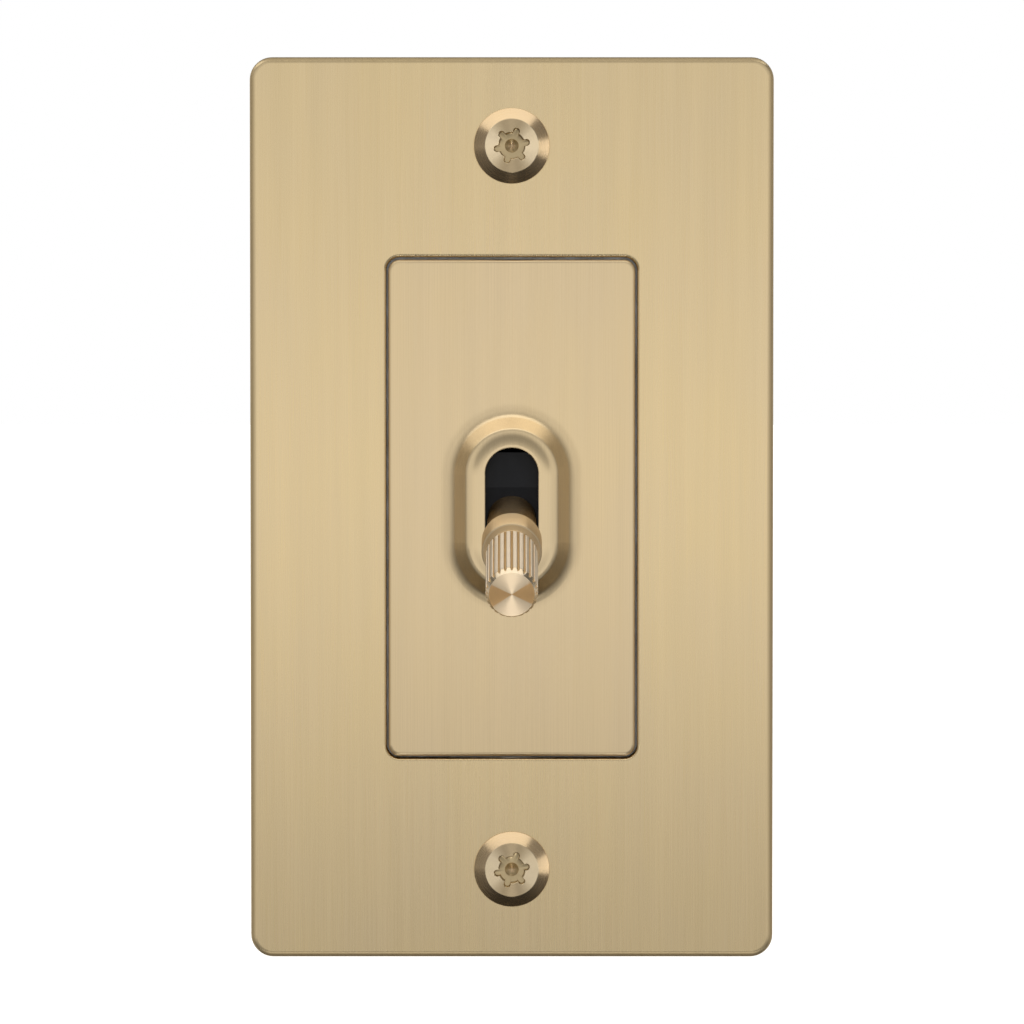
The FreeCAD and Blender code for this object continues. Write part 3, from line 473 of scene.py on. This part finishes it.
def cut_to(tree, geometry, where, radius, limit, chosen):
    """Pull the chosen points in to a limiting radius, as a cutter does."""
    share = sums(tree, "DIVIDE", sums(tree, "MINIMUM", radius, limit), sums(tree, "MAXIMUM", radius, hair))
    scaled = node(tree, "ShaderNodeCombineXYZ", {0: share, 1: 1.0, 2: share}).outputs[0]
    moved = node(tree, "ShaderNodeVectorMath", {0: where, 1: scaled}, operation="MULTIPLY").outputs[0]
    return node(
        tree, "GeometryNodeSetPosition", {"Geometry": geometry, "Selection": chosen, "Position": moved}
    ).outputs[0]


def end_with(tree, geometry, finishes, result):
    """End a tree: realize its instances, and give the chosen faces their finishes, later ones over earlier."""
    dressed = node(tree, "GeometryNodeRealizeInstances", {0: geometry}).outputs[0]
    for chosen, material in finishes:
        dressed = node(
            tree, "GeometryNodeSetMaterial", {"Geometry": dressed, "Selection": chosen, "Material": material}
        ).outputs[0]
    tree.links.new(dressed, result[0])


plate_front = plate_low.y
screw_low, screw_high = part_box("plate_screws")
head_radius = screw_high.x
head_height = plate_front - screw_low.y
screw_pitch = screw_high.z - screw_low.z - 2 * head_radius
face_radius = 3.6 * MM
face_skin = 0.03 * MM
face_rows = 6
foot_height = 0.2 * MM
edge, rim, softened = 0.06 * MM, 0.12 * MM, 0.4
shank_radius = 1.75 * MM
shank_end = screw_high.y - plate_front
thread_pitch, thread_depth, thread_rows = 0.6 * MM, 0.32 * MM, 8
recess_radius, recess_depth = 1.72 * MM, 1.1 * MM
lobe_ring, lobe_radius = 1.92 * MM, 0.44 * MM
lobe_turn, lobe_half = math.radians(78), math.pi / 6
cone_radius, cone_depth = 0.92 * MM, 0.55 * MM
cone_shape = (1.0, 0.0), (0.94, 0.10), (0.55, 0.50), (0.10, 0.94), (0.0, 1.0)
floor_corner = (0.0, -0.18 * MM), (0.05 * MM, -0.06 * MM), (0.18 * MM, 0.0)
turn_steps = 180


def lobes(grow):
    """Radius of the recess at an angle, grown by an allowance: a round hole with six round lobes."""
    def radius(angle):
        off = (angle - lobe_turn + lobe_half) % (2 * lobe_half) - lobe_half
        aside = lobe_ring * math.sin(off)
        reach = 0.0
        if abs(aside) < lobe_radius:
            reach = lobe_ring * math.cos(off) + math.sqrt(lobe_radius ** 2 - aside ** 2)
        return max(reach, recess_radius) + grow
    return radius


def towards_face(share):
    """Radius on the flat face, between the recess and the face's rim."""
    return lambda angle: lobes(rim)(angle) * (1 - share) + (face_radius - edge) * share


recess_floor = head_height - recess_depth
thread_steps = round(shank_end / thread_pitch) * thread_rows
rows = [
    *[(recess_floor - cone_depth * deep, cone_radius * wide) for deep, wide in cone_shape],
    *[(recess_floor + rise, lobes(grow)) for rise, grow in floor_corner],
    (head_height - rim, lobes(0)),
    (head_height - rim * softened, lobes(rim * softened)),
    (head_height, lobes(rim)),
    *[(head_height, towards_face(step / face_rows)) for step in range(1, face_rows + 1)],
    (head_height - edge, face_radius + edge * softened),
    (foot_height + edge * softened, head_radius - edge * softened),
    (foot_height - edge, head_radius),
    (0, head_radius),
    (0, shank_radius),
    *[(-shank_end * step / thread_steps, shank_radius) for step in range(1, thread_steps + 1)],
    (-shank_end, 0),
]
angles = [2 * math.pi * step / turn_steps for step in range(turn_steps)]

tree, given, result = tree_with(
    "threaded_pair", ("Pitch Of Pair", "Float"), ("Thread Pitch", "Float"), ("Thread Depth", "Float"),
    ("Shank Radius", "Float"), ("Face Depth", "Float"), ("Face Radius", "Float"),
    ("Face Front", "Float"), ("Bevel Finish", "Material"), ("Face Finish", "Material"),
    ("Recess Finish", "Material"),
)
where, along, radius, angle = round_place(tree)
pitches_along = sums(tree, "DIVIDE", along, given["Thread Pitch"])
turn = sums(tree, "FRACT", sums(tree, "ADD", pitches_along, sums(tree, "DIVIDE", angle, 2 * math.pi)))
groove = sums(tree, "MULTIPLY", sums(tree, "ABSOLUTE", sums(tree, "SUBTRACT", turn, 0.5)), 2.0)
limit = sums(tree, "SUBTRACT", given["Shank Radius"], sums(tree, "MULTIPLY", groove, given["Thread Depth"]))
on_shank = passes(tree, "LESS_THAN", along, -thread_pitch / 2)
one = cut_to(tree, given["Geometry"], where, radius, limit, on_shank)
half_pitch = sums(tree, "MULTIPLY", given["Pitch Of Pair"], 0.5)
lower_z = sums(tree, "MULTIPLY", half_pitch, -1.0)
first = node(tree, "ShaderNodeCombineXYZ", {1: given["Face Depth"], 2: lower_z}).outputs[0]
apart = node(tree, "ShaderNodeCombineXYZ", {2: given["Pitch Of Pair"]}).outputs[0]
places = node(
    tree, "GeometryNodeMeshLine", {"Count": 2, "Start Location": first, "Offset": apart}, mode="OFFSET"
).outputs[0]
pair = node(tree, "GeometryNodeInstanceOnPoints", {"Points": places, "Instance": one}).outputs[0]
x, y, z = node(tree, "ShaderNodeSeparateXYZ", {0: where}).outputs
aside = sums(tree, "SUBTRACT", sums(tree, "ABSOLUTE", z), half_pitch)
on_head = sums(tree, "LESS_THAN", y, given["Face Depth"])
near_axis = sums(tree, "LESS_THAN", off_axis(tree, x, aside), given["Face Radius"])
on_face = sums(tree, "MULTIPLY", on_head, near_axis)
sunk = sums(tree, "MULTIPLY", on_face, sums(tree, "GREATER_THAN", y, given["Face Front"]))
end_with(tree, pair, (
    (True, given["Bevel Finish"]), (on_face, given["Face Finish"]), (sunk, given["Recess Finish"]),
), result)

# Painted light: the head is one brass in three tints. The face is palest as painted highlight, and the bevel is
# darker and the recess darkest as painted shade. The face is also painted darker at its top and bottom.
bevel_brass = turned_brass("bevel_brass", (0.79, 0.59, 0.36), (0.81, 0.60, 0.35), roughness=0.26, spread=0.2)
face_brass = turned_brass(
    "face_brass", (0.98, 0.80, 0.54), (1.0, 0.81, 0.53), roughness=0.23, spread=1.0,
    painted_shade_wedge=(0, 0.3, 1.2, (0.61, 0.58, 0.53)),
)
recess_brass = turned_brass("recess_brass", (0.60, 0.47, 0.27), (0.72, 0.56, 0.32), roughness=0.30, spread=0.7)
plate_screws = grown(
    "coin_headed_screws", turned_mesh("coin_headed_screw", rows, angles), tree,
    **{"Pitch Of Pair": screw_pitch, "Thread Pitch": thread_pitch, "Thread Depth": thread_depth,
       "Shank Radius": shank_radius, "Face Depth": plate_front, "Face Radius": face_radius,
       "Face Front": screw_low.y + face_skin, "Bevel Finish": bevel_brass, "Face Finish": face_brass,
       "Recess Finish": recess_brass},
)
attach(plate_screws, "switch")
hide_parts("plate_screws")


# Dolly
# A lever turned from solid brass: stem, plain collar, relief groove and a grip with flutes cut along it.
# Its spigot screws into the rocker, so it leans with the rocker about the pin.
pivot = Vector((0, 4 * MM, 0))
dolly_tilt = math.radians(16)
leaning = Matrix.Translation(pivot) @ Matrix.Rotation(dolly_tilt, 4, "X")
land_reach, spigot_reach = 5.8 * MM, 2.2 * MM
collar_reach, groove_reach, grip_reach, tip_reach = 15.1 * MM, 19.75 * MM, 21.1 * MM, 36.9 * MM
spigot_radius, stem_radius, collar_radius = 2.0 * MM, 3.3 * MM, 4.0 * MM
groove_radius, grip_radius = 3.0 * MM, 3.42 * MM
collar_round, round_along, round_down = 0.22 * MM, 0.06 * MM, 0.07 * MM
groove_corner, grip_edge = 0.1 * MM, 0.02 * MM
chamfer, chamfer_length = 0.45 * MM, 0.9 * MM
chamfer_reach = tip_reach - chamfer_length
stem_rows, grip_rows, chamfer_rows, tip_rows = 6, 8, 6, 8
flute_count, flute_radius, flute_depth = 24, 0.17 * MM, 0.24 * MM
flute_places = -1.04, -0.99, -0.85, -0.6, -0.3, 0.0, 0.3, 0.6, 0.85, 0.99, 1.04
ridge_share = 0.985


def within(tree, value, low, high):
    """One where a value lies between two bounds."""
    past_low = sums(tree, "GREATER_THAN", value, low)
    return sums(tree, "MULTIPLY", past_low, sums(tree, "LESS_THAN", value, high))


def steps_to(last):
    """Equal shares of a length, up to the whole."""
    return [step / last for step in range(1, last + 1)]


rows = [
    (spigot_reach, 0),
    (spigot_reach, spigot_radius),
    (land_reach, spigot_radius),
    (land_reach, stem_radius),
    *[(land_reach + (collar_reach - land_reach) * share, stem_radius) for share in steps_to(stem_rows)],
    (collar_reach, collar_radius - collar_round),
    (collar_reach + round_along, collar_radius - round_down),
    (collar_reach + collar_round, collar_radius),
    (groove_reach - collar_round, collar_radius),
    (groove_reach - round_along, collar_radius - round_down),
    (groove_reach, collar_radius - collar_round),
    (groove_reach, groove_radius + groove_corner),
    (groove_reach + groove_corner, groove_radius),
    (grip_reach - grip_edge, groove_radius),
    (grip_reach, groove_radius + grip_edge),
    (grip_reach, grip_radius - grip_edge),
    (grip_reach + grip_edge, grip_radius),
    *[(grip_reach + (chamfer_reach - grip_reach) * share, grip_radius) for share in steps_to(grip_rows)],
    *[
        (tip_reach - chamfer_length * (1 - share), grip_radius - chamfer * share)
        for share in steps_to(chamfer_rows)
    ],
    *[(tip_reach, (grip_radius - chamfer) * (1 - share)) for share in steps_to(tip_rows)],
]
flute_half = flute_radius / grip_radius
land_half = math.pi / flute_count
quarter = (land_half - flute_half) / 2
steps = [share * flute_half for share in flute_places] + [flute_half + quarter, land_half, land_half + quarter]
angles = [2 * math.pi * flute / flute_count + step for flute in range(flute_count) for step in steps]

tree, given, result = tree_with(
    "fluted_grip", ("Grip Reach", "Float"), ("Grip Radius", "Float"), ("Flute Count", "Int"),
    ("Flute Radius", "Float"), ("Flute Depth", "Float"), ("Flute End", "Float"), ("Stem End", "Float"),
    ("Groove Reach", "Float"), ("Tip Reach", "Float"),
    ("Grip Finish", "Material"), ("Stem Finish", "Material"), ("Tip Finish", "Material"),
    ("Flute Finish", "Material"), ("Collar Finish", "Material"), ("Chamfer Finish", "Material"),
)
where, along, radius, angle = round_place(tree)
flutes_round = sums(tree, "MULTIPLY", sums(tree, "DIVIDE", angle, 2 * math.pi), given["Flute Count"])
off = sums(tree, "SUBTRACT", sums(tree, "FRACT", sums(tree, "ADD", flutes_round, 0.5)), 0.5)
pitch = sums(tree, "DIVIDE", sums(tree, "MULTIPLY", given["Grip Radius"], 2 * math.pi), given["Flute Count"])
across = sums(tree, "MULTIPLY", off, pitch)
flute_square = sums(tree, "POWER", given["Flute Radius"], 2.0)
inside = sums(tree, "SUBTRACT", flute_square, sums(tree, "MULTIPLY", across, across))
arc = sums(tree, "SQRT", sums(tree, "MAXIMUM", inside, 0.0))
deeper = sums(tree, "SUBTRACT", given["Flute Depth"], given["Flute Radius"])
sunk = sums(tree, "MULTIPLY", deeper, sums(tree, "GREATER_THAN", inside, 0.0))
limit = sums(tree, "SUBTRACT", given["Grip Radius"], sums(tree, "ADD", arc, sunk))
on_grip = passes(tree, "GREATER_THAN", along, sums(tree, "SUBTRACT", given["Grip Reach"], hair))
cut = cut_to(tree, given["Geometry"], where, radius, limit, on_grip)
below_ridges = sums(tree, "LESS_THAN", radius, sums(tree, "MULTIPLY", given["Grip Radius"], ridge_share))
along_flutes = within(tree, along, given["Grip Reach"], given["Flute End"])
end_with(tree, cut, (
    (True, given["Grip Finish"]),
    (passes(tree, "LESS_THAN", along, given["Stem End"]), given["Stem Finish"]),
    (within(tree, along, given["Stem End"], given["Groove Reach"]), given["Collar Finish"]),
    (within(tree, along, given["Groove Reach"], given["Grip Reach"]), given["Flute Finish"]),
    (sums(tree, "MULTIPLY", below_ridges, along_flutes), given["Flute Finish"]),
    (sums(tree, "GREATER_THAN", along, given["Flute End"]), given["Chamfer Finish"]),
    (passes(tree, "GREATER_EQUAL", along, given["Tip Reach"]), given["Tip Finish"]),
), result)

# Painted light: the dolly is one brass in several tints. The grip's ridges are palest as painted highlight, and
# the flutes and relief groove darkest as painted shade. The tip is painted darker at its left and right.
grip_brass = turned_brass("grip_brass", (0.99, 0.87, 0.71), (1.0, 0.88, 0.70), roughness=0.54, spread=0.9)
flute_brass = turned_brass("flute_brass", (0.82, 0.58, 0.32), (0.88, 0.62, 0.33), roughness=0.36, spread=0.8)
collar_brass = turned_brass("collar_brass", (0.93, 0.73, 0.47), (0.95, 0.74, 0.46), roughness=0.42, spread=0.9)
chamfer_brass = turned_brass("chamfer_brass", (0.98, 0.81, 0.58), (1.0, 0.82, 0.57), roughness=0.27, spread=0.4)
stem_brass = turned_brass("stem_brass", (0.84, 0.61, 0.35), (0.86, 0.62, 0.34), roughness=0.26, spread=0.9)
tip_brass = turned_brass(
    "tip_brass", (0.95, 0.76, 0.53), (0.97, 0.77, 0.52), roughness=0.32, spread=1.0,
    painted_shade_wedge=(90, 0.80, 0.92, (0.92, 0.72, 0.48)),
)
dolly = grown(
    "fluted_dolly", turned_mesh("dolly_blank", rows, angles), tree, leaning,
    **{"Grip Reach": grip_reach, "Grip Radius": grip_radius, "Flute Count": flute_count,
       "Flute Radius": flute_radius, "Flute Depth": flute_depth, "Flute End": chamfer_reach,
       "Stem End": collar_reach, "Groove Reach": groove_reach - hair, "Tip Reach": tip_reach - hair,
       "Grip Finish": grip_brass, "Stem Finish": stem_brass, "Tip Finish": tip_brass,
       "Flute Finish": flute_brass, "Collar Finish": collar_brass, "Chamfer Finish": chamfer_brass},
)
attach(dolly, "lever")
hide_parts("dolly")


# Plunger spring
# A compression spring coiled from bright steel wire, between the bore's end and the plunger.
# It rides in the rocker's tail and is built here at one length; the real spring shortens as the plunger is
# pushed in.
seat_reach, plunger_reach, plunger_stroke = 2.6 * MM, 10.0 * MM, 0.8 * MM
wire_radius, coil_radius, coil_count = 0.2 * MM, 1.35 * MM, 6
turn_points, wire_sides = 40, 12
wire_crease = math.radians(40)
end_gap = 0.05 * MM
coil_start = seat_reach + end_gap + wire_radius
coil_length = plunger_reach - coil_start - end_gap - wire_radius

tree, given, result = tree_with(
    "coiled_wire", ("Wire Radius", "Float"), ("Coil Radius", "Float"), ("Coil Count", "Float"),
    ("Coil Length", "Float"), ("Wire Finish", "Material"),
)
path = node(
    tree, "GeometryNodeCurveSpiral",
    {"Resolution": turn_points, "Rotations": given["Coil Count"], "Start Radius": given["Coil Radius"],
     "End Radius": given["Coil Radius"], "Height": given["Coil Length"]},
).outputs[0]
section = node(
    tree, "GeometryNodeCurvePrimitiveCircle", {"Resolution": wire_sides, "Radius": given["Wire Radius"]}
).outputs[0]
wire = node(
    tree, "GeometryNodeCurveToMesh", {"Curve": path, "Profile Curve": section, "Fill Caps": True}
).outputs[0]
end_with(tree, wire, ((True, given["Wire Finish"]),), result)

coiled_inwards = Matrix.Translation((0, coil_start, 0)) @ Matrix.Rotation(math.radians(-90), 4, "X")
spring_steel = screw_finish("spring_wire", (0.50, 0.50, 0.51), (0.64, 0.64, 0.64), 0.2)
spring = grown(
    "coiled_spring", bpy.data.meshes.new("wire_blank"), tree, leaning @ coiled_inwards,
    **{"Wire Radius": wire_radius, "Coil Radius": coil_radius, "Coil Count": coil_count,
       "Coil Length": coil_length, "Wire Finish": spring_steel},
)
spring.data.shade_smooth()
spring.data.set_sharp_from_angle(angle=wire_crease)
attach(spring, "lever")
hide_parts("plunger_spring")
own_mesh(spring)


# Studio
# A white floor in grey surroundings that only reflections see, a soft box above, and cards low in front and at
# the right. The camera stands in front, a little above the plate's middle.
floor_half, floor_drop = 3.0, 0.2 * MM
floor_z = cad_bounds[0][2] - floor_drop
floor_mesh = bpy.data.meshes.new("floor")
corners = (-1, -1), (1, -1), (1, 1), (-1, 1)
floor_mesh.from_pydata([(x * floor_half, y * floor_half, floor_z) for x, y in corners], [], [(0, 1, 2, 3)])
floor = bpy.data.objects.new("floor", floor_mesh)
bpy.context.scene.collection.objects.link(floor)
paper, *_ = finish(
    "white_paper", base_color=(0.9, 0.9, 0.9, 1), roughness=0.8,
    emission_color=(*white, 1), emission_strength=1.0,
)
floor_mesh.materials.append(paper)
floor.visible_glossy = False
floor.visible_diffuse = False
floor.visible_shadow = False

scene = bpy.context.scene
scene.view_settings.view_transform = "Standard"
scene.world = bpy.data.worlds.new("studio")
scene.world.use_nodes = True
tree = scene.world.node_tree
direction = node(tree, "ShaderNodeTexCoord").outputs["Generated"]
_, y, z = node(tree, "ShaderNodeSeparateXYZ", {0: direction}).outputs
height = fades(tree, z, -1.0, 1.0, 0.0, 1.0)


def sky(tree, height, levels):
    """Grey level of the surroundings by elevation in degrees."""
    made = node(tree, "ShaderNodeValToRGB", {0: height})
    ramp = made.color_ramp
    while len(ramp.elements) < len(levels):
        ramp.elements.new(1.0)
    for element, (elevation, level) in zip(ramp.elements, levels):
        element.position = (math.sin(math.radians(elevation)) + 1) / 2
        element.color = (level, level, level, 1)
    return made.outputs[0]


ahead = sky(tree, height, [
    (-90, 0.02), (-75, 0.04), (-60, 0.09), (-34, 0.28), (-18, 0.36), (-10, 0.42), (-6.3, 0.49), (-4.5, 0.66),
    (-3.2, 0.93), (-2.1, 1.10), (-1.0, 0.92), (0.5, 0.77), (3, 0.72), (10, 0.66), (25, 0.66), (60, 0.64),
    (90, 0.55),
])
behind = sky(tree, height, [(-90, 0.02), (-60, 0.05), (-40, 0.8), (-15, 0.9), (0, 0.8), (20, 0.3), (90, 0.2)])
side = fades(tree, y, -0.05, 0.1, 0.0, 1.0)
round_about = node(tree, "ShaderNodeMix", {0: side, 6: ahead, 7: behind}, data_type="RGBA").outputs[2]
facing = fades(tree, sums(tree, "ABSOLUTE", y), 0.0, 0.95, 0.15, 1.06)
shaded = node(tree, "ShaderNodeVectorMath", {0: round_about, "Scale": facing}, operation="SCALE").outputs[0]
seen = node(tree, "ShaderNodeLightPath").outputs["Is Camera Ray"]
shown = node(tree, "ShaderNodeMix", {0: seen, 6: shaded, 7: (*white, 1)}, data_type="RGBA").outputs[2]
tree.links.new(shown, tree.nodes["Background"].inputs[0])


def soft_box(name, centre, target, width, height, energy):
    """Lit panel that faces a target."""
    light = bpy.data.lights.new(name, "AREA")
    light.shape = "RECTANGLE"
    light.size, light.size_y, light.energy = width, height, energy
    panel = bpy.data.objects.new(name, light)
    panel.location = centre
    panel.rotation_euler = (Vector(target) - Vector(centre)).to_track_quat("-Z", "Y").to_euler()
    bpy.context.scene.collection.objects.link(panel)
    return panel


soft_box("box_above", (-0.14, -0.06, 0.46), (-0.14, -0.06, 0.0), width=1.0, height=0.40, energy=1.32)
soft_box("card_front", (0.0, -0.625, -0.647), (0.0, 0.0, 0.0), width=0.18, height=0.35, energy=0.56)
card_right = soft_box("card_right", (0.9, -0.17, 0.0), (0.0, -0.005, 0.0), width=0.14, height=0.5, energy=0.42)

# The card at the right lights the plate screws alone, and the dolly stays out of reflections
lit_from_right = bpy.data.collections.new("lit_from_right")
lit_from_right.objects.link(plate_screws)
card_right.light_linking.receiver_collection = lit_from_right
dolly.visible_glossy = False

camera_distance = 0.8
camera_rise = math.radians(2.2)
aim = Vector((0.03 * MM, plate_front, -0.5 * MM))
camera = bpy.data.objects.new("camera", bpy.data.cameras.new("camera"))
camera.data.sensor_width = 36.0
camera.data.lens = 210.2
camera.location = aim + camera_distance * Vector((0, -math.cos(camera_rise), math.sin(camera_rise)))
camera.rotation_euler = (aim - camera.location).to_track_quat("-Z", "Y").to_euler()
scene.collection.objects.link(camera)
scene.camera = camera
